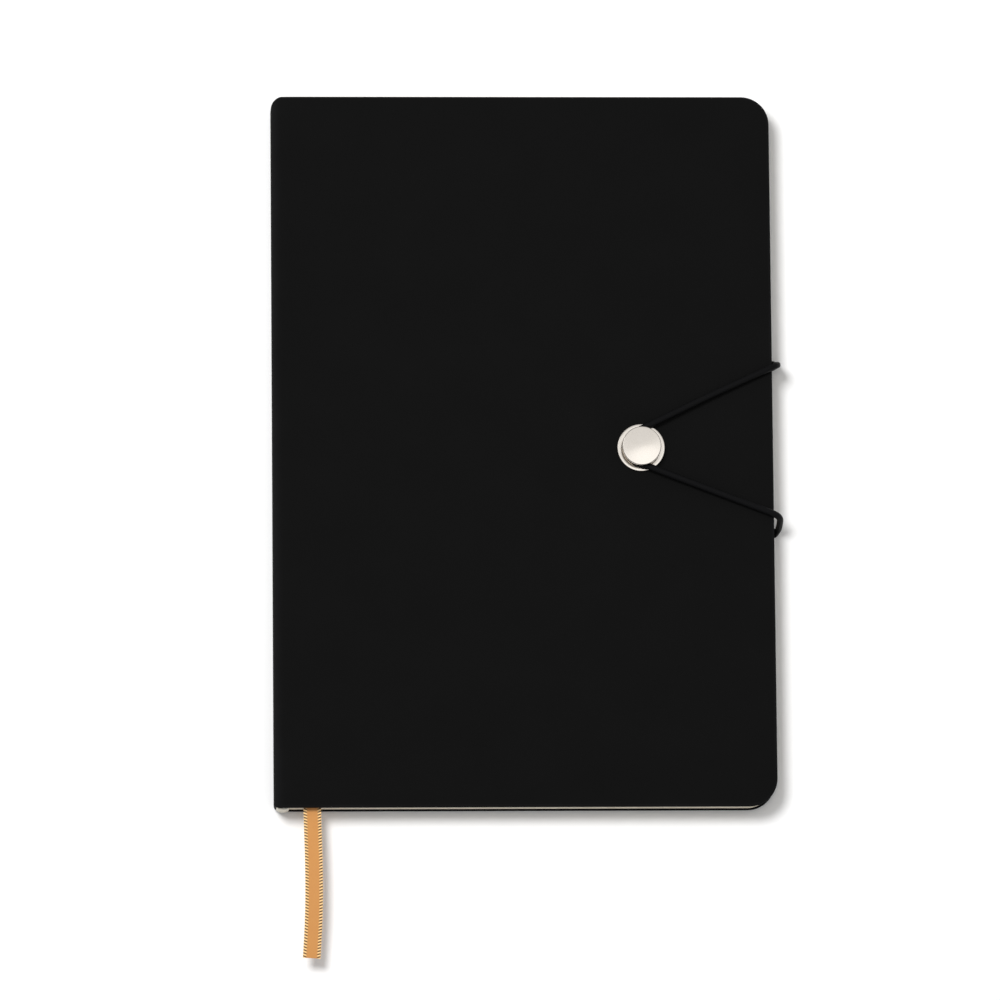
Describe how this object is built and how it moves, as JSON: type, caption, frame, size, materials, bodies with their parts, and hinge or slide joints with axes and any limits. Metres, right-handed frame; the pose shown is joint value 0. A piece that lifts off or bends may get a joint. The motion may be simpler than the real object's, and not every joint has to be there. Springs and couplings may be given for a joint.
{
  "type": "notebook with elastic closure",
  "caption": "Closed soft-cover notebook with rounded fore-edge corners, metal button, elastic cord closure and ribbon bookmark.",
  "frame": {"origin": "middle of the back cover's flat outer face", "axes": "+X from the spine to the fore edge, +Y to the head, +Z out of the front cover"},
  "size_m": [0.1492, 0.254, 0.0159],
  "materials": {
    "cover_leather": "fine grained, satin",
    "card": "matt",
    "endpaper": "matt",
    "pages": "matt",
    "lining_cloth": "open weave",
    "end_band": "woven cotton",
    "ribbon": "satin weave",
    "nickel": "polished nickel",
    "elastic": "braided"
  },
  "bodies": {
    "back_and_pages": {"back_cover_leather": "cover_leather", "back_cover_board": "card", "back_pastedown": "endpaper", "elastic_anchor_upper": "elastic", "elastic_anchor_lower": "elastic", "spine_lining": "lining_cloth", "headband": "end_band", "tailband": "end_band", "back_flyleaf": "endpaper", "section_02": "pages", "section_03": "pages", "section_04": "pages", "section_05": "pages", "section_06": "pages", "section_07": "pages", "section_08": "pages", "section_09": "pages", "ribbon_bookmark": "ribbon"},
    "spine": {"spine_leather": "cover_leather", "spine_stiffener": "card"},
    "front_cover": {"front_cover_leather": "cover_leather", "front_cover_board": "card", "front_pastedown": "endpaper", "button_base": "nickel", "button_neck": "nickel", "button_cap": "nickel", "button_rivet": "nickel"},
    "front_flyleaf": {"front_flyleaf": "endpaper"},
    "section_01": {"section_01": "pages"},
    "elastic": {"elastic_cord": "elastic"}
  },
  "joints": [
    {"name": "spine_fold", "type": "hinge", "parent": "back_and_pages", "child": "spine", "pos_m": [-0.07256, 0, 0.00064], "axis": [0, -1, 0], "range_deg": [0, 88.8]},
    {"name": "cover_fold", "type": "hinge", "parent": "spine", "child": "front_cover", "pos_m": [-0.07256, 0, 0.01036], "axis": [0, -1, 0], "range_deg": [0, 88.8]},
    {"name": "front_flyleaf_turn", "type": "hinge", "parent": "back_and_pages", "child": "front_flyleaf", "pos_m": [-0.0711, 0, 0.00748], "axis": [0, -1, 0], "range_deg": [0, 174.05]},
    {"name": "section_01_turn", "type": "hinge", "parent": "back_and_pages", "child": "section_01", "pos_m": [-0.0711, 0, 0.00748], "axis": [0, -1, 0], "range_deg": [0, 170.5]},
    {"name": "elastic_swing", "type": "hinge", "parent": "back_and_pages", "child": "elastic", "pos_m": [0.076, 0, 0.0067], "axis": [0, 1, 0], "range_deg": [0, 177.6], "deforming": ["elastic_cord"]}
  ],
  "couplings": [
    {"joint": "spine_fold", "follows": "cover_fold", "ratio": 1},
    {"joint": "front_flyleaf_turn", "follows": "cover_fold", "ratio": 1.96},
    {"joint": "section_01_turn", "follows": "cover_fold", "ratio": 1.92},
    {"joint": "elastic_swing", "follows": "cover_fold", "ratio": 2}
  ]
}
